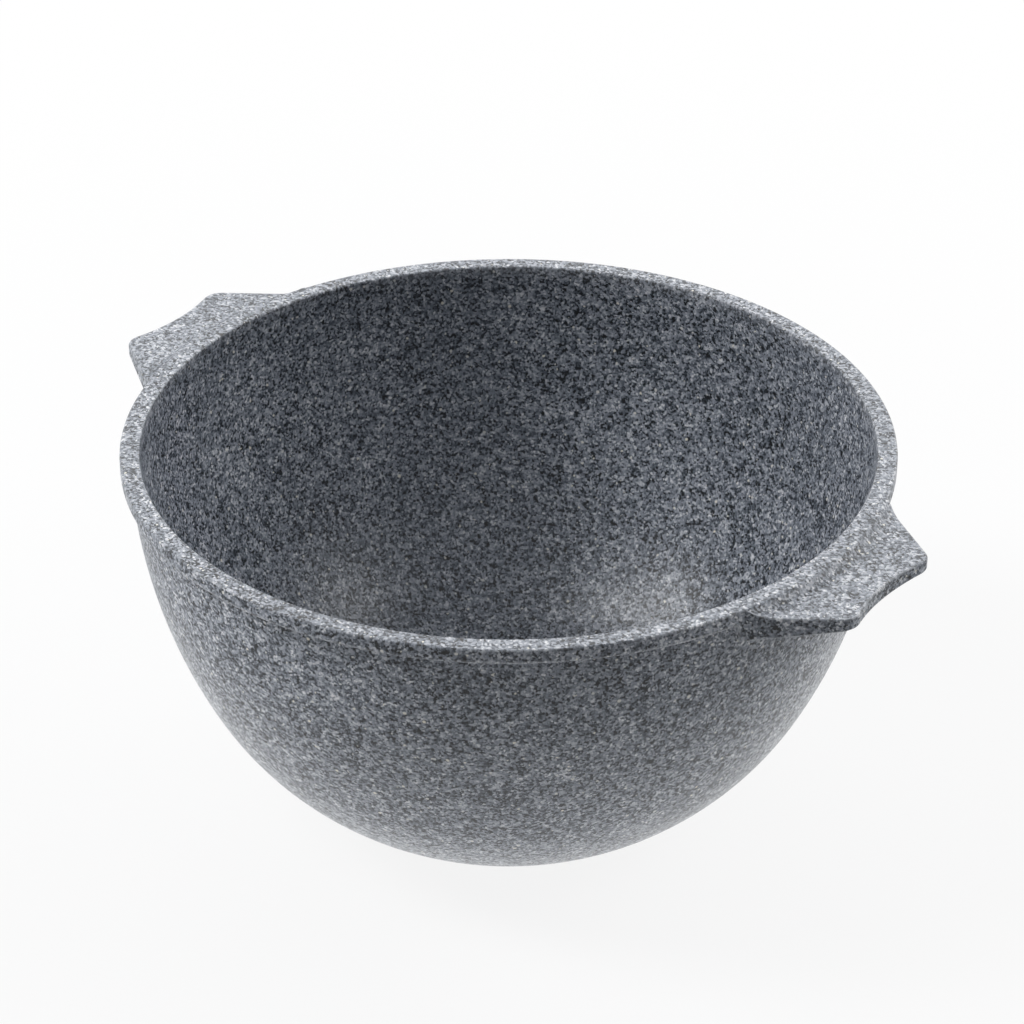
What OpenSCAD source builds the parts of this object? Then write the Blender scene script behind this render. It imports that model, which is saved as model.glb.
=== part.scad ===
// Round-bottomed cauldron with two ear handles, cast in one piece.
//
// The bowl is a turned shape: a thick flat-topped rim, a wall that leaves the rim
// plumb and runs down on two arcs, and a flat base turned true to stand on a hob.
// Each ear is a flat plate cast on just under the rim top, with two rounded horns
// and a shallow scallop between them where the fingers find it.
//
// Millimetres, +Z up. The origin is the middle of the base's resting face, and the
// ears point along +X and -X.

/* [Bowl] */
// Inner diameter of the mouth, at the rim top
mouth_d = 273; // [240:1:310]
// Height from the resting face to the flat rim top
height = 150; // [135:1:165]
// Diameter of the flat base
base_d = 122; // [90:1:150]
// Outer radius of the belly, the tighter arc that turns in to the base
belly_r = 127; // [110:1:145]
// Slope of the wall, off plumb, where the wide arc hands over to the belly
belly_a = 27; // [20:1:32]
// Thickness of the wall
wall_t = 4; // [3:0.5:6]
// Thickness of the floor, over the base
floor_t = 6; // [4:0.5:9]
// Radius that eases the inside of the belly onto the flat floor
floor_r = 75; // [30:1:95]

/* [Rim] */
// Width of the rim's flat top, from the mouth outwards
rim_w = 7.5; // [6.5:0.5:12]
// Height of the rim's outer band
rim_h = 6; // [4.5:0.5:10]
// Radius along the rim's two top edges
rim_top_r = 0.8; // [0.4:0.1:1.5]
// Radius along the rim's lower outer edge
rim_low_r = 1.5; // [0.5:0.1:2]

/* [Ears] */
// Span across the ears, from horn tip to horn tip
ear_span = 334; // [320:1:350]
// Width of an ear where its sides meet the rim
ear_root_w = 83; // [75:1:105]
// Distance between the centres of an ear's two horns
horn_gap = 44; // [35:1:50]
// Radius of each rounded horn
horn_r = 7; // [4:0.5:8]
// Radius of the scallop between the horns
scallop_r = 75; // [45:1:120]
// Depth of the ear's flat top below the rim top
ear_drop = 3; // [2:0.5:4]
// Radius over which the rim top rolls down towards an ear
slope_top_r = 2; // [1:0.5:3]
// Radius of the hollow below it, which runs out on the ear's flat top
slope_r = 7; // [4:0.5:12]
// Thickness of an ear at its horn tips
ear_tip_t = 4.5; // [4:0.5:7]
// Rise of the ear's underside from the wall to the tips, in degrees
ear_under_a = 12; // [5:0.5:15]
// Radius of the casting fillets where an ear's sides and underside grow out of the pot
fillet_r = 3; // [1:0.5:5]

/* [Hidden] */

// smoothness of the turned shapes, of the long arcs and of the small radii
turned_fn = 180;
arc_fn = 360;
small_fn = 72;
// how far a shape runs past what it cuts or joins
over = 1;
// how far a fillet or a rolled edge sinks into the surface that it runs out on
bite = 0.05;

mouth_r = mouth_d / 2;
rim_r = mouth_r + rim_w;
base_r = base_d / 2;
wall_r = mouth_r + wall_t;

// The outer wall leaves the rim plumb at wall_r on the wide arc, meets the belly
// smoothly at the slope belly_a, and the belly ends on the edge of the base.
// The step between the two radii is the root of a quadratic.
side_run = 1 - cos(belly_a);
side_in = wall_r - belly_r - base_r;
side_b = side_in * side_run + height * sin(belly_a);
side_c = side_in * side_in + height * height - belly_r * belly_r;
radius_step = (side_b - sqrt(side_b * side_b - 2 * side_run * side_c)) / (2 * side_run);
side_r = belly_r + radius_step;
side_x = wall_r - side_r;
belly_x = side_x + radius_step * cos(belly_a);
belly_z = height - radius_step * sin(belly_a);

// Centre of the easing arc inside, which touches the floor and the belly's inner face,
// and the level where it touches the belly.
ease_z = floor_t + floor_r;
ease_reach = belly_r - wall_t - floor_r;
ease_x = belly_x + sqrt(ease_reach * ease_reach - (belly_z - ease_z) * (belly_z - ease_z));
ease_top = ease_z - floor_r * (belly_z - ease_z) / ease_reach;

// Ear: level of its flat top, and the two ends of the slope down from the rim, whose
// rolled edge and hollow touch each other.
ear_z = height - ear_drop;
ear_reach = ear_span / 2;
slope_fall = ear_drop - bite;
slope_top_x = rim_r - rim_top_r;
slope_top_z = height - bite - slope_top_r;
slope_x = slope_top_x + sqrt(2 * (slope_top_r + slope_r) * slope_fall - slope_fall * slope_fall);
horn_x = ear_reach - horn_r;
horn_y = horn_gap / 2;
ear_root_y = ear_root_w / 2;
// distance of the horn tips from the middle of the pot
tip_r = norm([horn_x, horn_y]) + horn_r;
// the scallop touches both horns
scallop_x = horn_x + sqrt((scallop_r + horn_r) * (scallop_r + horn_r) - horn_y * horn_y);

// Level of the ear's underside at the distance x from the middle of the pot
function ear_under(x) = ear_z - ear_tip_t - (tip_r - x) * tan(ear_under_a);

// Half of the region inside one face of the wall, down to the level low.
// inset is 0 for the outer face and the wall's thickness for the inner one.
module wall_region(inset, low) {
    turn_z = height - (side_r - inset) * sin(belly_a);
    intersection() {
        translate([side_x, height]) circle(r = side_r - inset, $fn = arc_fn);
        translate([0, turn_z]) square([rim_r, height - turn_z]);
    }
    intersection() {
        translate([belly_x, belly_z]) circle(r = belly_r - inset, $fn = arc_fn);
        translate([0, low]) square([rim_r, turn_z - low]);
    }
}

// Half of the hollow: the mouth, the inner face of the wall, the easing arc and the floor
module hollow_region() {
    translate([0, height]) square([mouth_r, over]);
    wall_region(wall_t, ease_top);
    translate([0, floor_t]) square([ease_x, ease_top - floor_t]);
    intersection() {
        translate([ease_x, ease_z]) circle(r = floor_r, $fn = arc_fn);
        translate([ease_x, 0]) square([rim_r, ease_top]);
    }
}

// Section of the rim: flat top, with its three free edges rounded
module rim_section() {
    low_z = height - rim_h;
    top_z = height - rim_top_r;
    translate([mouth_r, low_z]) square([rim_w - rim_low_r, rim_h - rim_top_r]);
    translate([mouth_r, low_z + rim_low_r]) square([rim_w, rim_h - rim_low_r - rim_top_r]);
    translate([mouth_r + rim_top_r, top_z]) square([rim_w - 2 * rim_top_r, rim_top_r]);
    translate([mouth_r + rim_top_r, top_z]) circle(r = rim_top_r, $fn = small_fn);
    translate([rim_r - rim_top_r, top_z]) circle(r = rim_top_r, $fn = small_fn);
    translate([rim_r - rim_low_r, low_z + rim_low_r]) circle(r = rim_low_r, $fn = small_fn);
}

// The turned bowl, with its rim
module bowl() {
    rotate_extrude($fn = turned_fn) {
        difference() {
            wall_region(0, 0);
            hollow_region();
            // the rim's own section takes over from the wall here
            translate([mouth_r - over, height - rim_top_r]) square([wall_t + 2 * over, 2 * over]);
        }
        rim_section();
    }
}

// Radial section of an ear: flat top, slope up to the rim, rising underside,
// and the fillet that takes the underside into the wall
module ear_section() {
    inner_x = mouth_r + wall_t / 2;
    outer_x = tip_r + over;
    // the fillet's centre, seen from the centre of the wall's wide arc: down from the
    // underside and along it to where the fillet just sinks into the wall
    hub = [side_x, height];
    along = [cos(ear_under_a), sin(ear_under_a)];
    down = [sin(ear_under_a), -cos(ear_under_a)];
    fillet_off = ([0, ear_under(0)] - hub) * down + fillet_r;
    fillet_run = sqrt((side_r + fillet_r - bite) ^ 2 - fillet_off ^ 2);
    fillet_at = hub + fillet_off * down + fillet_run * along;
    difference() {
        polygon([
            [inner_x, fillet_at[1]],
            fillet_at,
            fillet_at - fillet_r * down,
            [inner_x, ear_z],
        ]);
        translate(fillet_at) circle(r = fillet_r, $fn = small_fn);
    }
    polygon([
        [inner_x, ear_under(inner_x)],
        [outer_x, ear_under(outer_x)],
        [outer_x, ear_z],
        [inner_x, ear_z],
    ]);
    difference() {
        polygon([
            [inner_x, ear_z - over],
            [slope_x, ear_z - over],
            [slope_x, ear_z + slope_r],
            [slope_top_x, slope_top_z],
            [slope_top_x, height - bite],
            [inner_x, height - bite],
        ]);
        translate([slope_x, ear_z + slope_r]) circle(r = slope_r, $fn = arc_fn);
    }
    translate([slope_top_x, slope_top_z]) circle(r = slope_top_r, $fn = small_fn);
}

// Outline of one ear seen from above, pointing along +X
module ear_outline() {
    // direction of the straight side, from the rim out to where it touches the horn
    run = [horn_x - rim_r, horn_y - ear_root_y];
    side_a = atan2(run[1], run[0]) + asin(horn_r / norm(run));
    along = [cos(side_a), sin(side_a)];
    out = [-sin(side_a), cos(side_a)];
    touch = [horn_x, horn_y] + horn_r * out;
    // the fillet at the side's root, outside the rim and beside the straight side
    fillet_off = touch * out + fillet_r;
    fillet_at = fillet_off * out + along * sqrt((rim_r + fillet_r - bite) ^ 2 - fillet_off ^ 2);
    // where the horn meets the scallop
    lip = [horn_x, horn_y] + horn_r * [scallop_x - horn_x, -horn_y] / (scallop_r + horn_r);
    for (side = [0, 1]) mirror([0, side]) difference() {
        union() {
            polygon([
                [0, 0],
                fillet_at * (rim_r - over) / norm(fillet_at),
                fillet_at,
                fillet_at - fillet_r * out,
                touch,
                [horn_x, horn_y],
                lip,
                [scallop_x - scallop_r + over, 0],
            ]);
            translate([horn_x, horn_y]) circle(r = horn_r, $fn = small_fn);
        }
        translate([scallop_x, 0]) circle(r = scallop_r, $fn = arc_fn);
        translate(fillet_at) circle(r = fillet_r, $fn = small_fn);
    }
}

// Both ears
module ears() {
    intersection() {
        rotate_extrude($fn = turned_fn) ear_section();
        for (turn = [0, 180]) rotate(turn)
            translate([0, 0, ear_under(0)]) linear_extrude(height + over - ear_under(0)) ear_outline();
    }
}

module cauldron() {
    color("slategray") {
        bowl();
        ears();
    }
}

cauldron();
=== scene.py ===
# %% [markdown]
# # A granite-speckled cast aluminium cauldron
#
# One casting: a round bowl with a thick flat rim and two ear handles that grow out of it,
# under a grey speckled coating, with a bare turned disc to stand on. The lesson builds
# the whole casting as one mesh with Geometry Nodes, finishes it with two node materials,
# and lights it in a small white studio.

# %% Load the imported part
import math

import bmesh
import bpy
import numpy as np
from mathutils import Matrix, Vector


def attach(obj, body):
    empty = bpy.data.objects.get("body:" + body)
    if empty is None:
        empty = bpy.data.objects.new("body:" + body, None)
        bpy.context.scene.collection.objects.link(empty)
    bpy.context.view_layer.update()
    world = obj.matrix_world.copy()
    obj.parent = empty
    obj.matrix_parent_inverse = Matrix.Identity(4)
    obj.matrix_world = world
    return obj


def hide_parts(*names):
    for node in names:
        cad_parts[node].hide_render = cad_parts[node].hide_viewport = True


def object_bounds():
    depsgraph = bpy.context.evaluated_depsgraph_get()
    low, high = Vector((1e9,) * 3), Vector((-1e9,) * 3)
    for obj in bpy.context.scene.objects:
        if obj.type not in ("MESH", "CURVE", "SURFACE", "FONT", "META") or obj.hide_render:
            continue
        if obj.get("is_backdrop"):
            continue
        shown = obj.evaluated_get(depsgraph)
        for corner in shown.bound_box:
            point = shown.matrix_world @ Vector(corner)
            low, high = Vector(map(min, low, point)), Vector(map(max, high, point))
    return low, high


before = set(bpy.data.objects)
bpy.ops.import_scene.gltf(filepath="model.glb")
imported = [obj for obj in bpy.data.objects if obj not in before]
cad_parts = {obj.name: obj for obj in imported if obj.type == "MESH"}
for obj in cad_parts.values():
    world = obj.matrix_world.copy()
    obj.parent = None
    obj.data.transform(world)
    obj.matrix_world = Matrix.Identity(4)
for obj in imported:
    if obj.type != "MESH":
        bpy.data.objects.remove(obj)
cad_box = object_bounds()
print("CAD box in mm", [[round(1000 * x, 1) for x in corner] for corner in cad_box])

# %% [markdown]
# ## Sizes
#
# A turned pot is drawn as half a section, and everything else hangs on a few numbers.
# They are the casting's own sizes in millimetres, the same as in the CAD source, so the
# dressed pot and the solid one agree.

# %% Name the bowl's sizes
MM = 0.001
MOUTH_R, RIM_W, RIM_H = 136.5, 7.5, 6.0
RIM_TOP_R, RIM_LOW_R = 0.8, 1.5
HEIGHT, BASE_R = 150.0, 61.0
WALL_T, FLOOR_T, FLOOR_R = 4.0, 6.0, 75.0
RIM_R, WALL_R = MOUTH_R + RIM_W, MOUTH_R + WALL_T
print("mouth %.0f mm, rim %.0f mm, height %.0f mm" % (2 * MOUTH_R, 2 * RIM_R, HEIGHT))

# %% [markdown]
# The wall is two arcs that touch each other. A wide one leaves the rim plumb, and the
# tighter belly ends on the edge of the base. Only the belly's radius and the slope at
# which the two touch are chosen. The step between their radii then follows, as the root
# of a quadratic.

# %% Work out the wall's two arcs
BELLY_R, BELLY_A = 127.0, 27.0
slope = math.radians(BELLY_A)
side_run = 1 - math.cos(slope)
side_in = WALL_R - BELLY_R - BASE_R
side_b = side_in * side_run + HEIGHT * math.sin(slope)
side_c = side_in ** 2 + HEIGHT ** 2 - BELLY_R ** 2
radius_step = (side_b - math.sqrt(side_b ** 2 - 2 * side_run * side_c)) / (2 * side_run)
SIDE_R = BELLY_R + radius_step
side_centre = (WALL_R - SIDE_R, HEIGHT)
belly_x = side_centre[0] + radius_step * math.cos(slope)
belly_centre = (belly_x, HEIGHT - radius_step * math.sin(slope))
print("wide arc: radius %.1f mm, centre %.1f mm from the axis" % (SIDE_R, side_centre[0]))

# %% [markdown]
# ## The section, drawn as stations
#
# The real bowl is cast in a mould that was turned on a lathe, so one half section gives
# the whole bowl. It could be spun with the Screw modifier, but the ears have to grow
# out of the same skin. So the section is a row of stations, from the middle of the base
# round the outside, over the rim and down to the middle of the floor inside. A few of
# them know that they may be pulled out to make an ear.
#
# Arcs and straight lines are all that the section is made of, so they come first. Each
# of them is given its number of steps.


# %% Write the helpers for arcs and lines
def arc(centre, radius, start, end, count, skip=1):
    """points on an arc between two angles in degrees, without the first one unless skip is 0"""
    angles = np.radians(np.linspace(start, end, count + 1))[skip:]
    return [(centre[0] + radius * math.cos(a), centre[1] + radius * math.sin(a)) for a in angles]


def line(a, b, count):
    """points on a straight line, without the first one"""
    return [tuple(p) for p in np.linspace(a, b, count + 1)[1:]]


def held_line(a, b, count, hold=0.15):
    """points on a straight line, with one close to each end that holds the face flat"""
    a, b = np.array(a, float), np.array(b, float)
    reach = (b - a) / np.linalg.norm(b - a) * hold
    return [tuple(a + reach)] + line(a + reach, b - reach, count) + [tuple(b)]


def angle_on(centre, point):
    """direction from one point to another, in degrees"""
    return math.degrees(math.atan2(point[1] - centre[1], point[0] - centre[0]))


print("half a circle in two steps:", np.round(arc((0, 0), 1, 0, 180, 2), 3).tolist())

# %% [markdown]
# Each station has its place on the plain bowl, its job in an ear, a share that says how
# far along that job it is, its place in the ear where that is fixed, and a mark where it
# lies on an outer edge, which the coating will wear.

# %% Start the row of stations
BOWL, FILLET, UNDER, LOW_EDGE, SIDE, TOP_EDGE, FLAT, SLOPE = range(8)
stations = []


def add_stations(points, job=BOWL, shares=None, ear=None, edge=0.0):
    """add stations with their places on the bowl, and with their job and places in an ear"""
    shares = [0.0] * len(points) if shares is None else shares
    for point, share, place in zip(points, shares, points if ear is None else ear):
        stations.append({"bowl": point, "part": job, "share": share, "ear": place, "edge": edge})


BASE_EDGE, BASE_HOLD = 0.5, 1.2
add_stations([(0.0, 0.0)] + line((0, 0), (BASE_R - BASE_HOLD, 0), 8))
add_stations(line((BASE_R - BASE_HOLD, 0), (BASE_R - BASE_EDGE, 0), 1))
belly_start = angle_on(belly_centre, (BASE_R, 0)) + math.degrees(BASE_EDGE / BELLY_R)
add_stations(arc(belly_centre, BELLY_R, belly_start, -BELLY_A, 28, 0))
print("stations from the base to the top of the belly:", len(stations))

# %% [markdown]
# An ear is a flat plate just under the rim top. Its underside rises outwards to the tips
# of the horns, and a casting fillet takes it into the wall. The fillet touches the wide
# arc, and from that point upwards the stations have a job in an ear.

# %% Place the fillet under an ear
EAR_REACH, HORN_Y, HORN_R = 167.0, 22.0, 7.0
EAR_DROP, EAR_TIP_T, EAR_UNDER_A, FILLET_R = 3.0, 4.5, 12.0, 3.0
ear_z, horn_x = HEIGHT - EAR_DROP, EAR_REACH - HORN_R
tip_r = math.hypot(horn_x, HORN_Y) + HORN_R
rise = math.radians(EAR_UNDER_A)
tilt = math.tan(rise)
under_at_axis = ear_z - EAR_TIP_T - tip_r * tilt
away = np.array([math.sin(rise), -math.cos(rise)])
outward = np.array([math.cos(rise), math.sin(rise)])
reach = (np.array([0, under_at_axis]) - side_centre) @ away + FILLET_R
run_out = math.sqrt((SIDE_R + FILLET_R) ** 2 - reach ** 2)
fillet_at = np.array(side_centre) + reach * away + run_out * outward
fillet_end = fillet_at - FILLET_R * away
wall_low = side_centre[1] + SIDE_R * math.sin(math.radians(angle_on(side_centre, fillet_at)))
add_stations(arc(side_centre, SIDE_R, -BELLY_A, angle_on(side_centre, fillet_at), 16))
print("the fillet leaves the wall %.1f mm below the rim top" % (HEIGHT - wall_low))

# %% [markdown]
# On the plain bowl, the next stations climb the last of the wall, turn through the small
# crease under the rim's band and go round the band's lower edge. In an ear they run
# along the fillet, along the underside and round the ear's lower edge.

# %% Draw the fillet, the crease and the lower edge
CREASE_R, FILLET_STEPS = 0.5, 6
band_z = HEIGHT - RIM_H


def side_radius(z):
    """radius of the wall's wide arc at a level"""
    return side_centre[0] + math.sqrt(SIDE_R ** 2 - (HEIGHT - z) ** 2)


fillet_ends = angle_on(fillet_at, side_centre), angle_on(fillet_at, fillet_end)
fillet_arc = arc(fillet_at, FILLET_R, *fillet_ends, FILLET_STEPS)
wall_levels = np.linspace(wall_low, band_z - CREASE_R, FILLET_STEPS + 2)[1:]
wall_top = [(side_radius(z), z) for z in wall_levels]
add_stations(wall_top[:FILLET_STEPS], FILLET, ear=fillet_arc)
crease = (side_radius(band_z) + CREASE_R, band_z - CREASE_R)
add_stations([wall_top[-1]] + arc(crease, CREASE_R, 180, 90, 4), UNDER, [0.2, 0.45, 0.7, 0.9, 0.98])
low_corner = (RIM_R - RIM_LOW_R, band_z + RIM_LOW_R)
turns = [0, 22.5, 45, 67.5, 90, 90]
add_stations(arc(low_corner, RIM_LOW_R, -90, 0, 5, 0), LOW_EDGE, turns, edge=1.0)
print("stations up to the lower edge:", len(stations))

# %% [markdown]
# An ear's top rolls off the rim over a small radius and runs through a hollow out onto
# its flat. On the plain bowl there is nothing to draw there, so all those stations sit on
# one point of the rim, and merging by distance takes the spare ones out again.

# %% Draw the side, the top edge, the flat and the slope
SLOPE_TOP_R, SLOPE_R, SLOPE_STEPS = 2.0, 7.0, 10
top_corner = (RIM_R - RIM_TOP_R, HEIGHT - RIM_TOP_R)
add_stations(held_line((RIM_R, low_corner[1]), (RIM_R, top_corner[1]), 1), SIDE, [0.04, 0.96, 1.0])
add_stations(arc(top_corner, RIM_TOP_R, 0, 90, 4), TOP_EDGE, [22.5, 45, 67.5, 90], edge=1.0)
rolled = (top_corner[0], HEIGHT)
flat_shares = [0.02, 0.15, 0.3, 0.5, 0.7, 0.9, 1.0]
add_stations([rolled] * len(flat_shares), FLAT, flat_shares)
slope_top = np.array([rolled[0], HEIGHT - SLOPE_TOP_R])
slope_x = slope_top[0] + math.sqrt(2 * (SLOPE_TOP_R + SLOPE_R) * EAR_DROP - EAR_DROP ** 2)
slope_low = np.array([slope_x, ear_z + SLOPE_R])
touch_angle = angle_on(slope_top, slope_low)
slope_line = arc(slope_low, SLOPE_R, 270, touch_angle + 180, 12, 0)
slope_line += arc(slope_top, SLOPE_TOP_R, touch_angle, 90, 6)
steps, along_line = np.linspace(0, 1, SLOPE_STEPS + 1)[1:], np.linspace(0, 1, len(slope_line))
spots = np.interp(steps, along_line, [x for x, z in slope_line])
add_stations([rolled] * SLOPE_STEPS, SLOPE, ear=[(x, 0.0) for x in spots])
print("the slope runs %.1f mm out from the rim" % (slope_x - rolled[0]))

# %% [markdown]
# The rest is plain bowl: the rim's flat top, its inner edge, the inner face of the wall,
# and an arc that eases the belly onto the flat floor.

# %% Draw the rim's top and the inside
add_stations(held_line(rolled, (MOUTH_R + RIM_TOP_R, HEIGHT), 2))
add_stations(arc((MOUTH_R + RIM_TOP_R, top_corner[1]), RIM_TOP_R, 90, 180, 4), edge=1.0)
inner_top = math.degrees(math.asin(RIM_TOP_R / (SIDE_R - WALL_T)))
add_stations(arc(side_centre, SIDE_R - WALL_T, -inner_top, -BELLY_A, 20))
ease_z, ease_reach = FLOOR_T + FLOOR_R, BELLY_R - WALL_T - FLOOR_R
ease_x = belly_x + math.sqrt(ease_reach ** 2 - (belly_centre[1] - ease_z) ** 2)
ease_centre = (ease_x, ease_z)
ease_angle = angle_on(belly_centre, ease_centre)
add_stations(arc(belly_centre, BELLY_R - WALL_T, -BELLY_A, ease_angle, 22))
add_stations(arc(ease_centre, FLOOR_R, ease_angle, -90, 16))
add_stations(line((ease_x, FLOOR_T), (0, FLOOR_T), 6))
print("stations on the whole section:", len(stations))

# %% [markdown]
# ## The ear's outline
#
# Seen from above, an ear is a scallop between two round horns, with straight sides that
# run back to the rim through a casting fillet. Each arc touches the next, so each
# centre follows from the radii on either side of it.

# %% Draw the ear's outline from above
EAR_ROOT_Y, SCALLOP_R = 41.5, 75.0
scallop_x = horn_x + math.sqrt((SCALLOP_R + HORN_R) ** 2 - HORN_Y ** 2)
horn, scallop = np.array([horn_x, HORN_Y]), np.array([scallop_x, 0.0])
run = np.array([horn_x - RIM_R, HORN_Y - EAR_ROOT_Y])
side_a = math.atan2(run[1], run[0]) + math.asin(HORN_R / math.hypot(*run))
along = np.array([math.cos(side_a), math.sin(side_a)])
out = np.array([-math.sin(side_a), math.cos(side_a)])
touch = horn + HORN_R * out
root_off = touch @ out + FILLET_R
root_at = root_off * out + along * math.sqrt((RIM_R + FILLET_R) ** 2 - root_off ** 2)
print("the scallop is %.1f mm deep between the horns" % (EAR_REACH - (scallop_x - SCALLOP_R)))

# %% Join the outline's arcs
lip_a = angle_on(scallop, horn)
outline = arc(scallop, SCALLOP_R, 180, lip_a, 60, 0)
outline += arc(horn, HORN_R, lip_a - 180, angle_on((0, 0), out), 60)
outline += line(tuple(touch), tuple(root_at - FILLET_R * out), 30)
outline += arc(root_at, FILLET_R, angle_on((0, 0), -out), angle_on(root_at, (0, 0)), 30)
outline = outline[::-1] + [(x, -y) for x, y in outline[1:]]
root_azimuth = angle_on((0, 0), root_at)
print("an ear covers %.2f degrees each way from its middle" % root_azimuth)
print("its horn tips stand %.1f mm from the axis" % tip_r)

# %% [markdown]
# The tree has to know how far out and how high an ear is in each direction. Writing each
# arc's equation as a chain of math nodes would be long. Instead, the outline and the
# slope are each stood up as a thin ribbon, and a ray shot at a ribbon reads the
# distance off it.


# %% Stand the lines up as ribbons
def guide_object(name, mesh):
    """an object that the tree will read and that is deleted afterwards"""
    guide = bpy.data.objects.new(name, mesh)
    bpy.context.collection.objects.link(guide)
    return guide


def ribbon(name, points, step):
    """a thin wall standing on a line of points, which a ray can be shot at"""
    mesh = bpy.data.meshes.new(name)
    n, step = len(points), Vector(step)
    corners = [(Vector(p) + way * step) * MM for way in (-1, 1) for p in points]
    mesh.from_pydata(corners, [], [(i, i + 1, n + i + 1, n + i) for i in range(n - 1)])
    return guide_object(name, mesh)


outline_guide = ribbon("ear_outline_guide", [(x, y, 0) for x, y in outline], (0, 0, 1))
slope_run = [(tip_r + 2, ear_z)] + slope_line + [(MOUTH_R, HEIGHT)]
slope_guide = ribbon("ear_slope_guide", [(x, 0, z) for x, z in slope_run], (0, 1, 0))
print("points along the outline: %d, along the slope: %d" % (len(outline), len(slope_run)))

# %% [markdown]
# The section becomes a guide too: a mesh of points whose attributes carry each station's
# job, share, edge mark and place in an ear.

# %% Keep the stations as a guide
section_mesh = bpy.data.meshes.new("section_guide")
joins = [(i, i + 1) for i in range(len(stations) - 1)]
section_mesh.from_pydata([(s["bowl"][0] * MM, 0, s["bowl"][1] * MM) for s in stations], joins, [])
for name, kind in (("part", "INT"), ("share", "FLOAT"), ("edge", "FLOAT")):
    values = [s[name] for s in stations]
    section_mesh.attributes.new(name, kind, "POINT").data.foreach_set("value", values)
ear_places = [x for s in stations for x in (s["ear"][0] * MM, 0, s["ear"][1] * MM)]
ear_field = section_mesh.attributes.new("ear_place", "FLOAT_VECTOR", "POINT")
ear_field.data.foreach_set("vector", ear_places)
section_guide = guide_object("section_guide", section_mesh)
print("stations with a job in an ear:", sum(s["part"] != BOWL for s in stations))

# %% [markdown]
# ## The columns
#
# The section is repeated round the axis. Round the plain bowl a column each 1.2 degrees is
# smooth enough, while a horn of 7 mm radius needs one each 0.3 degrees. The ear's root
# falls between two columns that almost touch, so that its edge stays crisp.

# %% Set out the columns round the axis
FINE, COARSE = 0.3, 1.2
INSIDE_ROOT, PAST_ROOT = 0.002, 0.02
first, last = root_azimuth - INSIDE_ROOT, root_azimuth + PAST_ROOT
ear_columns = list(np.linspace(-first, first, int(2 * root_azimuth / FINE) + 1))
plain_count = int((180 - 2 * root_azimuth) / COARSE) + 1
plain_columns = list(np.linspace(last, 180 - last, plain_count))
half_turn = ear_columns + plain_columns
columns = half_turn + [180 + c for c in half_turn]
columns.append(columns[0] + 360)
column_mesh = bpy.data.meshes.new("column_guide")
joins = [(i, i + 1) for i in range(len(columns) - 1)]
column_mesh.from_pydata([(math.radians(c), 0, 0) for c in columns], joins, [])
column_guide = guide_object("column_guide", column_mesh)
print("columns:", len(columns), "faces about", len(columns) * len(stations))

# %% [markdown]
# ## The casting, turned by Geometry Nodes
#
# A lathe's rule is simple: the same section at each angle. The tree below lays out a grid,
# reads which column and which station each of its points belongs to, and moves the point
# to its place. Where a column looks into an ear, the stations between the wall and the rim
# leave the bowl and run out along the ear's underside, up its edge and back over its top.
# A revolve with two ears joined on by a Boolean would leave a ragged seam at the
# very place where the real casting has none.


# %% Write the one function that adds a node, and start the tree
def add_node(where, kind, inputs=(), give=0, **settings):
    """add a node, set its properties, link or set its inputs, and give back one of its outputs"""
    node = where.nodes.new(kind)
    for key, value in settings.items():
        setattr(node, key, value)
    for key, value in (inputs if isinstance(inputs, dict) else dict(enumerate(inputs))).items():
        if isinstance(value, bpy.types.NodeSocket):
            where.links.new(value, node.inputs[key])
        else:
            node.inputs[key].default_value = value
    return node if give is None else node.outputs[give]


MATH, VECTOR, MIX = "ShaderNodeMath", "ShaderNodeVectorMath", "ShaderNodeMix"
tree = bpy.data.node_groups.new("turned_casting", "GeometryNodeTree")
print("tree started:", tree.name)

# %% Give the tree its named inputs
tree.interface.new_socket("Geometry", in_out="INPUT", socket_type="NodeSocketGeometry")
tree.interface.new_socket("Geometry", in_out="OUTPUT", socket_type="NodeSocketGeometry")
for name, kind in (
    ("Section", "Object"), ("Columns", "Object"),
    ("Ear outline", "Object"), ("Ear slope", "Object"),
    ("Underside at axis", "Float"), ("Underside rise", "Float"), ("Underside start", "Float"),
    ("Slope end", "Float"), ("Edge radius", "Float"), ("Turned radius", "Float"),
    ("Coating", "Material"), ("Turned metal", "Material"),
):
    tree.interface.new_socket(name, in_out="INPUT", socket_type="NodeSocket" + kind)
given = add_node(tree, "NodeGroupInput", give=None).outputs
guides = {}
for name in ("Section", "Columns", "Ear outline", "Ear slope"):
    guides[name] = add_node(tree, "GeometryNodeObjectInfo", {"Object": given[name]}, "Geometry")
print("inputs of the tree:", len(given) - 1)

# %% Lay out the grid and number its columns and stations
COUNT = "GeometryNodeAttributeDomainSize"
column_count = add_node(tree, COUNT, {"Geometry": guides["Columns"]}, "Point Count")
station_count = add_node(tree, COUNT, {"Geometry": guides["Section"]}, "Point Count")
counts = {"Vertices X": column_count, "Vertices Y": station_count}
grid = add_node(tree, "GeometryNodeMeshGrid", counts)
index = add_node(tree, "GeometryNodeInputIndex")
passed = add_node(tree, MATH, [index, station_count], operation="DIVIDE")
column = add_node(tree, MATH, [passed], operation="FLOOR")
station = add_node(tree, MATH, [index, station_count], operation="MODULO")
print("nodes so far:", len(tree.nodes))

# %% [markdown]
# The guides carry what was worked out above. Sample Index looks a value up by number:
# the point's station number finds its place, job and share, and its column number
# finds its angle.

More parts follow.
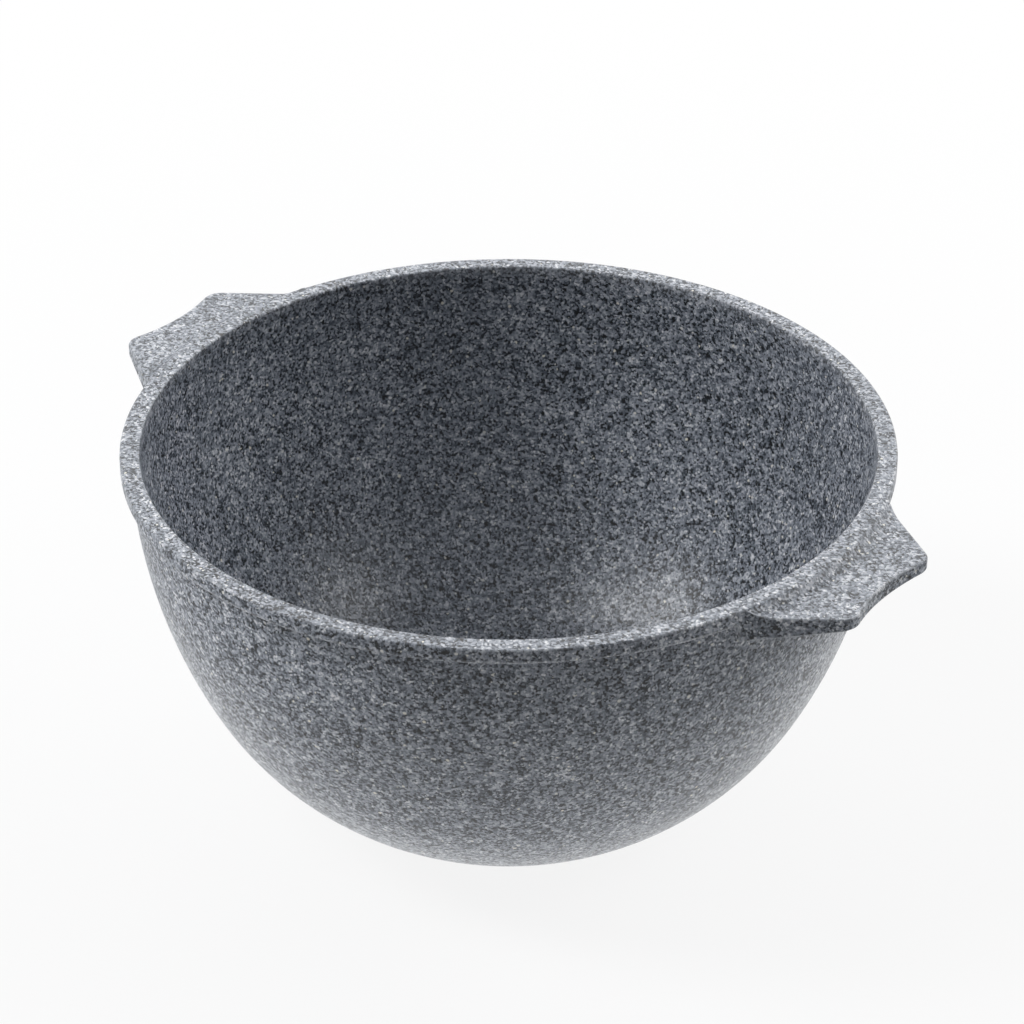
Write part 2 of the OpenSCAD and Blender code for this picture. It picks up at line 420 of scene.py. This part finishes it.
# %% Look up what the guides say about each point
position = add_node(tree, "GeometryNodeInputPosition")
NAMED = "GeometryNodeInputNamedAttribute"
kinds = {"ear_place": "FLOAT_VECTOR", "part": "INT", "share": "FLOAT", "edge": "FLOAT"}
drawn = {}
for name, kind in kinds.items():
    marked = add_node(tree, NAMED, {"Name": name}, "Attribute", data_type=kind)
    look = {"Geometry": guides["Section"], "Value": marked, "Index": station}
    drawn[name] = add_node(tree, "GeometryNodeSampleIndex", look, data_type=kind)
look = {"Geometry": guides["Section"], "Value": position, "Index": station}
plain_place = add_node(tree, "GeometryNodeSampleIndex", look, data_type="FLOAT_VECTOR")
plain = add_node(tree, "ShaderNodeSeparateXYZ", [plain_place], None).outputs
ear_place = add_node(tree, "ShaderNodeSeparateXYZ", [drawn["ear_place"]], None).outputs
look = {"Geometry": guides["Columns"], "Value": position, "Index": column}
angle = add_node(tree, "GeometryNodeSampleIndex", look, data_type="FLOAT_VECTOR")
azimuth = add_node(tree, "ShaderNodeSeparateXYZ", [angle], "X")
cosine = add_node(tree, MATH, [azimuth], operation="COSINE")
sine = add_node(tree, MATH, [azimuth], operation="SINE")
print("values that each point looks up:", ", ".join(drawn), "and its angle")

# %% [markdown]
# The first ray runs out from the axis along the column and finds the ear's edge. Both ears
# are alike, so a column on the left looks at the outline of the right one. The ray crosses
# the ear's side at a slant, so the edge's radius is stretched by that slant. The second
# ray looks down on the slope.

# %% Find how far out the ear reaches
RAY, LEAST_SLANT = 1.0, 0.4
rightwards = add_node(tree, MATH, [cosine], operation="ABSOLUTE")
outlook = add_node(tree, "ShaderNodeCombineXYZ", [rightwards, sine])
axis = add_node(tree, "ShaderNodeCombineXYZ")
shot = {"Target Geometry": guides["Ear outline"], "Source Position": axis}
shot |= {"Ray Direction": outlook, "Ray Length": RAY}
ray = add_node(tree, "GeometryNodeRaycast", shot, None).outputs
in_ear, reach_out = ray["Is Hit"], ray["Hit Distance"]
between = [ray["Hit Normal"], outlook]
facing = add_node(tree, VECTOR, between, "Value", operation="DOT_PRODUCT")
slant = add_node(tree, MATH, [facing], operation="ABSOLUTE")
slant = add_node(tree, MATH, [slant, LEAST_SLANT], operation="MAXIMUM")
edge = given["Edge radius"]
edge_wide = add_node(tree, MATH, [edge, slant], operation="DIVIDE")
flat_out = add_node(tree, MATH, [reach_out, edge_wide], operation="SUBTRACT")
print("the edge's radius is stretched %.1f times at most" % (1 / LEAST_SLANT))


# %% Find how high the ear's two faces are
def top_at(radius):
    """height of the ear's top at a radius, by a ray straight down"""
    above = add_node(tree, "ShaderNodeCombineXYZ", {"X": radius, "Z": 2 * HEIGHT * MM})
    shot = {"Target Geometry": guides["Ear slope"], "Source Position": above}
    shot |= {"Ray Direction": (0, 0, -1), "Ray Length": RAY}
    hit = add_node(tree, "GeometryNodeRaycast", shot, "Hit Position")
    return add_node(tree, "ShaderNodeSeparateXYZ", [hit], "Z")


def under_at(radius):
    """height of the ear's underside at a radius"""
    slanting = [radius, given["Underside rise"], given["Underside at axis"]]
    return add_node(tree, MATH, slanting, operation="MULTIPLY_ADD")


low_level = add_node(tree, MATH, [under_at(flat_out), edge], operation="ADD")
high_level = add_node(tree, MATH, [top_at(flat_out), edge], operation="SUBTRACT")
rim_t = EAR_TIP_T + (tip_r - RIM_R) * tilt
print("the ear is %.1f mm thick at its tips and %.1f mm at the rim" % (EAR_TIP_T, rim_t))

# %% [markdown]
# Each job in the ear has its own rule for the radius and the height, and an Index Switch
# picks the one that the station asks for. The under, side and flat jobs run straight from
# one radius or height to another by the station's share. The two edge jobs swing round a
# quarter circle.

# %% Work out the radii and heights that the jobs share
steady = {"Factor": drawn["share"]}
from_wall = steady | {"A": given["Underside start"], "B": flat_out}
under_radius = add_node(tree, MIX, from_wall, "Result")
slope_foot = add_node(tree, MATH, [given["Slope end"], flat_out], operation="MINIMUM")
flat_radius = add_node(tree, MIX, steady | {"A": flat_out, "B": slope_foot}, "Result")
side_level = add_node(tree, MIX, steady | {"A": low_level, "B": high_level}, "Result")
drawn_radius = add_node(tree, MATH, [ear_place["X"], flat_out], operation="MINIMUM")
swing = add_node(tree, MATH, [drawn["share"]], operation="RADIANS")
swing_in = add_node(tree, MATH, [swing], operation="COSINE")
swing_up = add_node(tree, MATH, [swing], operation="SINE")
low_drop = add_node(tree, MATH, [edge, swing_in], operation="MULTIPLY")
print("nodes so far:", len(tree.nodes))

# %% Give each job its place
places = {
    BOWL: (plain["X"], plain["Z"]),
    FILLET: (drawn_radius, ear_place["Z"]),
    UNDER: (under_radius, under_at(under_radius)),
    LOW_EDGE: (add_node(tree, MATH, [edge_wide, swing_up, flat_out], operation="MULTIPLY_ADD"),
               add_node(tree, MATH, [low_level, low_drop], operation="SUBTRACT")),
    SIDE: (reach_out, side_level),
    TOP_EDGE: (add_node(tree, MATH, [edge_wide, swing_in, flat_out], operation="MULTIPLY_ADD"),
               add_node(tree, MATH, [edge, swing_up, high_level], operation="MULTIPLY_ADD")),
    FLAT: (flat_radius, top_at(flat_radius)),
    SLOPE: (drawn_radius, top_at(drawn_radius)),
}
print("jobs that a station can have:", len(places))

# %% Pick the place that a station's job asks for
job = add_node(tree, MATH, [drawn["part"], in_ear], operation="MULTIPLY")
picked = []
for which in (0, 1):
    switch = add_node(tree, "GeometryNodeIndexSwitch", [job], None, data_type="FLOAT")
    while len(switch.index_switch_items) < len(places):
        switch.index_switch_items.new()
    for number, place in places.items():
        tree.links.new(place[which], switch.inputs[1 + number])
    picked.append(switch.outputs[0])
radius, height = picked
print("a switch for the radius and one for the height:", len(picked))

# %% [markdown]
# The points then go to their places. Merging by distance joins the last column to the
# first, closes the poles on the axis and takes out the stations that sat on one point.

# %% Place the points and close the skin
CLOSE = 0.002 * MM
across = [add_node(tree, MATH, [radius, turn], operation="MULTIPLY") for turn in (cosine, sine)]
place = add_node(tree, "ShaderNodeCombineXYZ", across + [height])
worn_edge = {"Geometry": grid, "Name": "outer_edge", "Value": drawn["edge"]}
marked = add_node(tree, "GeometryNodeStoreNamedAttribute", worn_edge, data_type="FLOAT")
moved = add_node(tree, "GeometryNodeSetPosition", {"Geometry": marked, "Position": place})
closed = add_node(tree, "GeometryNodeMergeByDistance", {"Geometry": moved, "Distance": CLOSE})
smooth = add_node(tree, "GeometryNodeSetShadeSmooth", {"Geometry": closed})
print("points closer than %.3f mm are merged" % (CLOSE / MM))

# %% Give the skin its two finishes
ON_BASE = 0.2 * MM
realized = add_node(tree, "GeometryNodeRealizeInstances", {"Geometry": smooth})
finish = {"Geometry": realized, "Material": given["Coating"]}
coated = add_node(tree, "GeometryNodeSetMaterial", finish)
spot = add_node(tree, "ShaderNodeSeparateXYZ", [position], None).outputs
on_base = add_node(tree, MATH, [spot["Z"], ON_BASE], operation="LESS_THAN")
level_spot = add_node(tree, "ShaderNodeCombineXYZ", [spot["X"], spot["Y"]])
from_axis = add_node(tree, VECTOR, [level_spot], "Value", operation="LENGTH")
inside_ring = add_node(tree, MATH, [from_axis, given["Turned radius"]], operation="LESS_THAN")
bare = add_node(tree, MATH, [on_base, inside_ring], operation="MULTIPLY")
finish = {"Geometry": coated, "Selection": bare, "Material": given["Turned metal"]}
add_node(tree, "NodeGroupOutput", [add_node(tree, "GeometryNodeSetMaterial", finish)], None)
print("nodes in the tree:", len(tree.nodes))

# %% [markdown]
# ## The granite coating
#
# The coating is a semi-gloss non-stick lacquer sprayed on cast aluminium. Over a slate
# ground it is spattered with dark and pale paint in several passes, so it looks like fine
# granite. A photograph of granite could be wrapped on, but it would smear at the ears and
# repeat. Here the grains are Voronoi cells in three dimensions, each with a grey of its
# own, so the pattern runs over every edge without a seam.
#
# What the eye gets from it: grains of about 1 mm, clumps of 2 to 3 mm that are nearly
# black, pale dots and a few cream flecks, all a little blue, with a broad soft shine.


# %% Write sRGB hex colours as linear ones
def linear(code):
    """a colour written as sRGB hex, in the linear values that a shader needs"""
    channels = [int(code[i:i + 2], 16) / 255 for i in (0, 2, 4)]
    return [c / 12.92 if c <= 0.04045 else ((c + 0.055) / 1.055) ** 2.4 for c in channels] + [1.0]


def new_material(name):
    """an empty material and its node tree"""
    material = bpy.data.materials.new(name)
    material.use_nodes = True
    material.node_tree.nodes.clear()
    return material, material.node_tree


print("the middle grey 6d737c in linear values:", [round(c, 3) for c in linear("6d737c")])

# %% [markdown]
# Each scale below is a real size in millimetres. A soft noise pushes the cells' walls
# about, so that the grains are as ragged as dried spatter. A cell's own random value says
# how dark its grain is. Clumps and slow blotches are added to it, because spray never
# lands quite evenly.

# %% Lay the grains of the coating
GRAIN, CLUMP, BLOTCH = 0.9, 2.3, 38.0
RAGGED = 1.1 * GRAIN
NOISE, CELLS = "ShaderNodeTexNoise", "ShaderNodeTexVoronoi"
coating, nodes = new_material("granite_lacquer_on_cast_aluminium")
coords = add_node(nodes, "ShaderNodeTexCoord", give="Object")
in_mm = add_node(nodes, VECTOR, {0: coords, "Scale": 1 / MM}, operation="SCALE")
ragged = add_node(nodes, NOISE, {"Vector": in_mm, "Scale": 1 / GRAIN, "Detail": 1.0}, None).outputs
shift = add_node(nodes, VECTOR, [ragged["Color"], (0.5, 0.5, 0.5)], operation="SUBTRACT")
warped = add_node(nodes, VECTOR, [shift, (RAGGED, RAGGED, RAGGED), in_mm], operation="MULTIPLY_ADD")
grain = add_node(nodes, CELLS, {"Vector": warped, "Scale": 1 / GRAIN}, "Color")
clump = add_node(nodes, CELLS, {"Vector": warped, "Scale": 1 / CLUMP}, "Color")
blotches = add_node(nodes, NOISE, {"Vector": in_mm, "Scale": 1 / BLOTCH, "Detail": 2.0})
print("grains of %.1f mm, clumps of %.1f mm, blotches of %.0f mm" % (GRAIN, CLUMP, BLOTCH))

# %% Add them up to one tone
grain_luck = add_node(nodes, "ShaderNodeSeparateColor", [grain])
clump_luck = add_node(nodes, "ShaderNodeSeparateColor", [clump])
layers = [(grain_luck, 0.47), (clump_luck, 0.18), (ragged["Fac"], 0.33), (blotches, 0.144)]
tone = 0.0
for value, weight in layers:
    tone = add_node(nodes, MATH, [value, weight, tone], operation="MULTIPLY_ADD")
print("layers in the tone:", len(layers))

# %% Give the grains their greys
greys = [
    (0.228, "000000"), (0.285, "030405"), (0.364, "1c2026"), (0.445, "444a53"), (0.562, "6d737c"),
    (0.678, "8a8f98"), (0.758, "a0a4ac"), (0.836, "bec0c5"), (0.891, "d6d7d9"),
]
ramp = add_node(nodes, "ShaderNodeValToRGB", [tone], None)
stops = ramp.color_ramp.elements
stops.remove(stops[1])
for place, code in greys[1:]:
    stops.new(place).color = linear(code)
stops[0].position, stops[0].color = greys[0][0], linear(greys[0][1])
speckle = ramp.outputs["Color"]
print("greys from", greys[0][1], "to", greys[-1][1])

# %% [markdown]
# Pale drops of the last spray pass lie on top. They are the cells of a coarser Voronoi
# whose random value is high, cut to a ragged spot by the distance from the cell's middle.
# Most are a small grey dot, and here and there one is larger and cream.

# %% Spatter the pale drops
DROP, SMALLEST, LARGEST = 2.6, 0.10, 0.27
MISSED, MOSTLY_SMALL, COVER = 0.55, 3.0, 0.9
drops = add_node(nodes, CELLS, {"Vector": warped, "Scale": 1 / DROP}, None).outputs
luck = add_node(nodes, "ShaderNodeSeparateColor", [drops["Color"]], None).outputs
landed = add_node(nodes, MATH, [luck["Green"], MISSED], operation="GREATER_THAN")
size = add_node(nodes, MATH, [luck["Blue"], MOSTLY_SMALL], operation="POWER")
size = add_node(nodes, MATH, [size, LARGEST - SMALLEST, SMALLEST], operation="MULTIPLY_ADD")
inside = add_node(nodes, MATH, [size, drops["Distance"]], operation="GREATER_THAN")
cover = add_node(nodes, MATH, [landed, inside], operation="MULTIPLY")
cover = add_node(nodes, MATH, [cover, COVER], operation="MULTIPLY")
drop_colour = {"Factor": luck["Red"], "A": linear("c4c6c9"), "B": linear("dfdbcd")}
drop_colour = add_node(nodes, MIX, drop_colour, "Result", data_type="RGBA")
spattered = {"Factor": cover, "A": speckle, "B": drop_colour}
spattered = add_node(nodes, MIX, spattered, "Result", data_type="RGBA")
print("pale drops from %.1f to %.1f mm across" % (2 * SMALLEST * DROP, 2 * LARGEST * DROP))

# %% [markdown]
# Along the outer edges, which are handled and wiped the most, the lacquer is worn a
# little paler and smoother. The tree has marked those edges on the mesh.

# %% Wear the edges
WORN_PALER, CONTRAST, UNWORN = 0.35, 1.4, 0.3
edge_mark = add_node(nodes, "ShaderNodeAttribute", give="Fac", attribute_name="outer_edge")
patchy = [blotches, CONTRAST, -UNWORN]
patchy = add_node(nodes, MATH, patchy, operation="MULTIPLY_ADD", use_clamp=True)
rubbed = add_node(nodes, MATH, [edge_mark, patchy], operation="MULTIPLY")
paler = add_node(nodes, MATH, [rubbed, WORN_PALER], operation="MULTIPLY")
worn = {"Factor": paler, "A": spattered, "B": linear("b9bbbe")}
worn = add_node(nodes, MIX, worn, "Result", data_type="RGBA")
print("an edge is worn at most %.0f%% of the way to bare grey" % (100 * WORN_PALER))

# %% [markdown]
# Sprayed lacquer flows out into low waves, called orange peel, and the grains stand a
# little proud in it. Its index of refraction is 1.4, lower than most lacquers, because
# a non-stick coating holds PTFE. Pale grains are a little glossier than dark ones.

# %% Give the coating its shine
ROUGHEST, PALE_GLOSS, RUBBED_GLOSS = 0.46, 0.16, 0.08
rough = add_node(nodes, MATH, [tone, -PALE_GLOSS, ROUGHEST], operation="MULTIPLY_ADD")
rough = add_node(nodes, MATH, [rubbed, -RUBBED_GLOSS, rough], operation="MULTIPLY_ADD")
print("roughness %.2f at most, and %.2f less on a rubbed edge" % (ROUGHEST, RUBBED_GLOSS))

# %% Give it its relief
ORANGE_PEEL, PEEL_HEIGHT, PROUD = 1.6, 0.07, 0.12
waves = add_node(nodes, NOISE, {"Vector": in_mm, "Scale": 1 / ORANGE_PEEL, "Detail": 1.0})
relief = add_node(nodes, MATH, [tone, PROUD, waves], operation="MULTIPLY_ADD")
bumps = {"Height": relief, "Strength": 0.22, "Distance": PEEL_HEIGHT * MM}
bumps = add_node(nodes, "ShaderNodeBump", bumps)
lacquer = {"Base Color": worn, "Roughness": rough, "IOR": 1.4, "Normal": bumps}
lacquer = add_node(nodes, "ShaderNodeBsdfPrincipled", lacquer)
add_node(nodes, "ShaderNodeOutputMaterial", [lacquer], None)
print("nodes in the coating:", len(nodes.nodes))

# %% [markdown]
# ## The turned base
#
# After coating, the base is turned flat on a lathe, so that it sits true on a hob. The
# tool leaves fine rings in the bare aluminium. Real ones are a few hundredths of a
# millimetre apart, too fine to show, so they are drawn 0.9 mm apart here. They could be
# cut into the mesh, but a bump is enough for grooves this shallow. They follow from the
# distance to the axis, so they need no UV map. What the eye gets is a pale metal disc
# with rings that catch the light, scuffed dull in patches by the hob, with the lacquer's
# spray feathered in over its edge.

# %% Turn the rings
RING, GROOVE, GROOVE_SHARE = 0.9, 0.06, 0.2
SCUFF, SCUFF_CONTRAST, UNSCUFFED = 14.0, 2.6, 0.95
turned, nodes = new_material("turned_aluminium")
coords = add_node(nodes, "ShaderNodeTexCoord", give="Object")
in_mm = add_node(nodes, VECTOR, {0: coords, "Scale": 1 / MM}, operation="SCALE")
level_spot = add_node(nodes, VECTOR, [in_mm, (1, 1, 0)], operation="MULTIPLY")
from_axis = add_node(nodes, VECTOR, [level_spot], "Value", operation="LENGTH")
phase = add_node(nodes, MATH, [from_axis, 2 * math.pi / RING], operation="MULTIPLY")
groove = add_node(nodes, MATH, [phase], operation="SINE")
feed = {"W": from_axis, "Scale": 0.7, "Detail": 2.0}
feed = add_node(nodes, NOISE, feed, noise_dimensions="1D")
rings = add_node(nodes, MATH, [groove, GROOVE_SHARE, feed], operation="MULTIPLY_ADD")
scuffed = {"Vector": in_mm, "Scale": 1 / SCUFF, "Detail": 6.0, "Roughness": 0.7}
scuffs = add_node(nodes, NOISE, scuffed)
dull = [scuffs, SCUFF_CONTRAST, -UNSCUFFED]
dull = add_node(nodes, MATH, dull, operation="MULTIPLY_ADD", use_clamp=True)
print("rings drawn %.1f mm apart: %d of them" % (RING, BASE_R / RING))

# %% Colour the metal
ringed = {"Factor": rings, "A": linear("b4b5b7"), "B": linear("e4e5e6")}
metal = add_node(nodes, MIX, ringed, "Result", data_type="RGBA")
dulled = {"Factor": dull, "A": metal, "B": linear("a9aaac")}
metal = add_node(nodes, MIX, dulled, "Result", data_type="RGBA")
print("nodes so far:", len(nodes.nodes))

# %% Feather the spray in over the metal's edge
FEATHER, TURNED_R, SPRAY_EDGE = 2.5, BASE_R - 0.4, 1.05
outward = {"Value": from_axis, "From Min": BASE_R - FEATHER, "From Max": TURNED_R}
spray = add_node(nodes, "ShaderNodeMapRange", outward)
spray = add_node(nodes, MATH, [spray, scuffs], operation="ADD")
sprayed = add_node(nodes, MATH, [spray, SPRAY_EDGE], operation="GREATER_THAN")
skin = {"Factor": sprayed, "A": metal, "B": linear("4c525c")}
skin = add_node(nodes, MIX, skin, "Result", data_type="RGBA")
print("metal from %.1f mm inwards, spray outside it" % TURNED_R)

# %% Give the metal its shine and its grooves
METAL_ROUGH, SCUFF_ROUGH = 0.26, 0.22
bright = add_node(nodes, MATH, [1.0, sprayed], operation="SUBTRACT")
gloss = add_node(nodes, MATH, [dull, SCUFF_ROUGH, METAL_ROUGH], operation="MULTIPLY_ADD")
bumps = {"Height": rings, "Strength": 0.6, "Distance": GROOVE * MM}
bumps = add_node(nodes, "ShaderNodeBump", bumps)
metal = {"Base Color": skin, "Metallic": bright, "Roughness": gloss, "Normal": bumps}
metal = add_node(nodes, "ShaderNodeBsdfPrincipled", metal)
add_node(nodes, "ShaderNodeOutputMaterial", [metal], None)
print("nodes in the turned metal:", len(nodes.nodes))

# %% [markdown]
# ## Run the tree
#
# The modifier sits on an empty carrier. Its inputs are set by their identifiers before it is
# first evaluated, and the result is copied out as a plain mesh. Then the carrier and
# the guides are deleted.

# %% Set the tree's inputs
EAR_EDGE = 0.8
carrier = bpy.data.objects.new("carrier", bpy.data.meshes.new("carrier"))
bpy.context.collection.objects.link(carrier)
turning = carrier.modifiers.new("turned casting", "NODES")
turning.node_group = tree
values = {
    "Section": section_guide, "Columns": column_guide,
    "Ear outline": outline_guide, "Ear slope": slope_guide,
    "Underside at axis": under_at_axis * MM, "Underside rise": tilt,
    "Underside start": fillet_end[0] * MM, "Slope end": slope_x * MM,
    "Edge radius": EAR_EDGE * MM, "Turned radius": TURNED_R * MM,
    "Coating": coating, "Turned metal": turned,
}
for item in tree.interface.items_tree:
    if item.in_out == "INPUT" and item.name in values:
        turning[item.identifier] = values[item.name]
print("inputs set:", len(values))

# %% Run the tree and keep its mesh
bpy.context.view_layer.update()
evaluated = carrier.evaluated_get(bpy.context.evaluated_depsgraph_get())
casting_mesh = bpy.data.meshes.new_from_object(evaluated)
casting_mesh.name = "cauldron_casting"
casting_mesh.materials.pop(index=0)
carrier.modifiers.remove(turning)
for guide in (carrier, section_guide, column_guide, outline_guide, slope_guide):
    bpy.data.objects.remove(guide)
casting = bpy.data.objects.new("cauldron_casting", casting_mesh)
bpy.context.collection.objects.link(casting)
print("materials:", [m.name for m in casting_mesh.materials])

# %% [markdown]
# A closed skin has two faces at every edge, and its volume is positive if its faces point
# outwards. The volume should also be that of the solid, 652.5 cm3.

# %% Check the mesh
check = bmesh.new()
check.from_mesh(casting_mesh)
loose = sum(1 for e in check.edges if len(e.link_faces) != 2)
volume = check.calc_volume(signed=True) / MM ** 3
check.free()
triangles = sum(len(p.vertices) - 2 for p in casting_mesh.polygons)
print("volume %.1f cm3, edges not shared by two faces: %d" % (volume / 1000, loose))
print("faces", len(casting_mesh.polygons), "triangles", triangles)

# %% Tie the casting to the CAD model
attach(casting, "root")
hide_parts("cauldron")
print(casting.name, "rides on root and replaces the node cauldron")

# %% [markdown]
# ## Camera, floor and lights
#
# The camera stands where the photograph's camera stood: its place came from the two
# circles of the rim.

# %% Set the camera
CAMERA_TURN, CAMERA_TILT = 36.83, 58.7
lens = bpy.data.cameras.new("camera")
lens.lens, lens.sensor_width = 129.5, 36.0
camera = bpy.data.objects.new("camera", lens)
camera.location = (0.7104, -0.9465, 0.8369)
camera.rotation_euler = (math.radians(CAMERA_TILT), 0, math.radians(CAMERA_TURN))
lens.clip_start, lens.clip_end = 0.05, 50
bpy.context.collection.objects.link(camera)
bpy.context.scene.camera = camera
print("camera %.2f m from the pot" % camera.location.length)

# %% [markdown]
# The photograph's ground is pure white. Turning up the lamps until the floor clips would
# bleach the pot as well. Instead, rays from the camera and mirror rays see mostly plain
# white in the floor and all white in the world, while light that scatters meets ordinary
# grey-white paper, so that the pot still gets its bounce and its soft shadow. Away
# from the pot the floor turns wholly white, so that no horizon shows behind it.


# %% Mix the white paper
def seen_directly(where):
    """1 for rays from the camera, mirror rays and rays through glass"""
    ray = add_node(where, "ShaderNodeLightPath", give=None).outputs
    seen = ray["Is Camera Ray"]
    for also in (ray["Is Glossy Ray"], ray["Is Transmission Ray"]):
        seen = add_node(where, MATH, [seen, also], operation="MAXIMUM")
    return seen


WHITE_SHARE, SHADOW_END, WHITE_FROM = 0.88, 0.2, 0.8
paper, nodes = new_material("white_paper")
sheet = {"Base Color": linear("d3d4d5"), "Roughness": 0.9}
matte = add_node(nodes, "ShaderNodeBsdfPrincipled", sheet)
white = add_node(nodes, "ShaderNodeEmission", {"Color": (1, 1, 1, 1), "Strength": 1.0})
place = add_node(nodes, "ShaderNodeTexCoord", give="Object")
from_pot = add_node(nodes, VECTOR, [place], "Value", operation="LENGTH")
fade = {"Value": from_pot, "From Min": SHADOW_END, "From Max": WHITE_FROM, "To Min": WHITE_SHARE}
fade = add_node(nodes, "ShaderNodeMapRange", fade, interpolation_type="SMOOTHSTEP")
share = add_node(nodes, MATH, [seen_directly(nodes), fade], operation="MULTIPLY")
mixed = add_node(nodes, "ShaderNodeMixShader", [share, matte, white])
add_node(nodes, "ShaderNodeOutputMaterial", [mixed], None)
print("floor near the pot: %.0f%% plain white to the camera" % (100 * WHITE_SHARE))

# %% Lay the floor and hang the white ground
FLOOR_HALF = 6.0
floor_mesh = bpy.data.meshes.new("floor")
corners = [(x * FLOOR_HALF, y * FLOOR_HALF, 0) for x, y in ((-1, -1), (1, -1), (1, 1), (-1, 1))]
floor_mesh.from_pydata(corners, [], [(0, 1, 2, 3)])
floor_mesh.materials.append(paper)
floor = bpy.data.objects.new("floor", floor_mesh)
bpy.context.collection.objects.link(floor)
floor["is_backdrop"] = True

world = bpy.data.worlds.new("white_ground")
bpy.context.scene.world = world
world.use_nodes = True
nodes = world.node_tree
nodes.nodes.clear()
ground = {"Color": (1, 1, 1, 1), "Strength": seen_directly(nodes)}
ground = add_node(nodes, "ShaderNodeBackground", ground)
add_node(nodes, "ShaderNodeOutputWorld", [ground], None)
print("floor %.0f m wide" % (2 * FLOOR_HALF))

# %% [markdown]
# ## The lamps
#
# Their places were read off the pot: the pale glow inside on the right mirrors softboxes
# on the left, a weaker glow inside on the left mirrors one on the right, and the flat rim
# and the ears, much brighter than the bowl, are lit by a wide one behind. Nothing stands
# near the camera, so the wall that faces it stays dark. A lit disc in the table under the
# pot brightens its belly from below, as in a product studio.
#
# Each lamp was first tried alone, and their strengths were then worked out together from
# how bright each part of the pot should be.

# %% Hang the lamps
AIM = Vector((0, 0, 0.08))
# for each one: turn and height in degrees, distance and size in metres, watts
softboxes = {
    "wide_back_lamp": (0, 39, 2.4, (3.0, 1.7), 39.5),
    "left_key_lamp": (-90, 38, 1.8, (0.5, 0.5), 16.7),
    "left_high_lamp": (-105, 55, 1.8, (0.5, 0.5), 8.8),
    "right_fill_lamp": (90, 36, 1.8, (0.9, 0.7), 11.2),
    "right_back_lamp": (55, 30, 2.0, (1.2, 0.9), 13.2),
    "left_low_lamp": (-88, 6, 1.2, (0.9, 0.2), 3.2),
}
for name, (turn, up, away, size, watts) in softboxes.items():
    # turned from straight behind the pot towards the camera's right
    turn, up = math.radians(turn - CAMERA_TURN), math.radians(up)
    level, high = away * math.cos(up), away * math.sin(up)
    data = bpy.data.lights.new(name, "AREA")
    data.shape, data.size, data.size_y, data.energy = "RECTANGLE", size[0], size[1], watts
    lamp = bpy.data.objects.new(name, data)
    lamp.location = Vector((level * math.sin(turn), level * math.cos(turn), high)) + AIM
    lamp.rotation_euler = (AIM - lamp.location).to_track_quat("-Z", "Y").to_euler()
    bpy.context.collection.objects.link(lamp)
print("softboxes:", ", ".join(softboxes))

# %% Light the disc in the table
glow = bpy.data.lights.new("table_glow", "AREA")
glow.shape, glow.size, glow.energy = "DISK", 0.4, 0.178
table_lamp = bpy.data.objects.new("table_glow", glow)
table_lamp.location, table_lamp.rotation_euler = (0, 0, 2 * MM), (math.pi, 0, 0)
table_lamp.visible_camera = False
bpy.context.collection.objects.link(table_lamp)
bpy.context.scene.view_settings.view_transform = "Standard"
print("table glow %.3f W" % glow.energy)

# %% [markdown]
# ## Check and finish
#
# The dressed pot should stay inside the CAD model's box, so both boxes are gathered side by side.
# The dressed one is printed here, and the CAD box was printed at the start.

# %% Gather the two boxes and print the dressed one
shown_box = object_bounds()
boxes = {"cad": cad_box, "visual": shown_box}
boxes = {name: [list(corner) for corner in box] for name, box in boxes.items()}
print("visual box in mm", [[round(1000 * x, 1) for x in corner] for corner in shown_box])
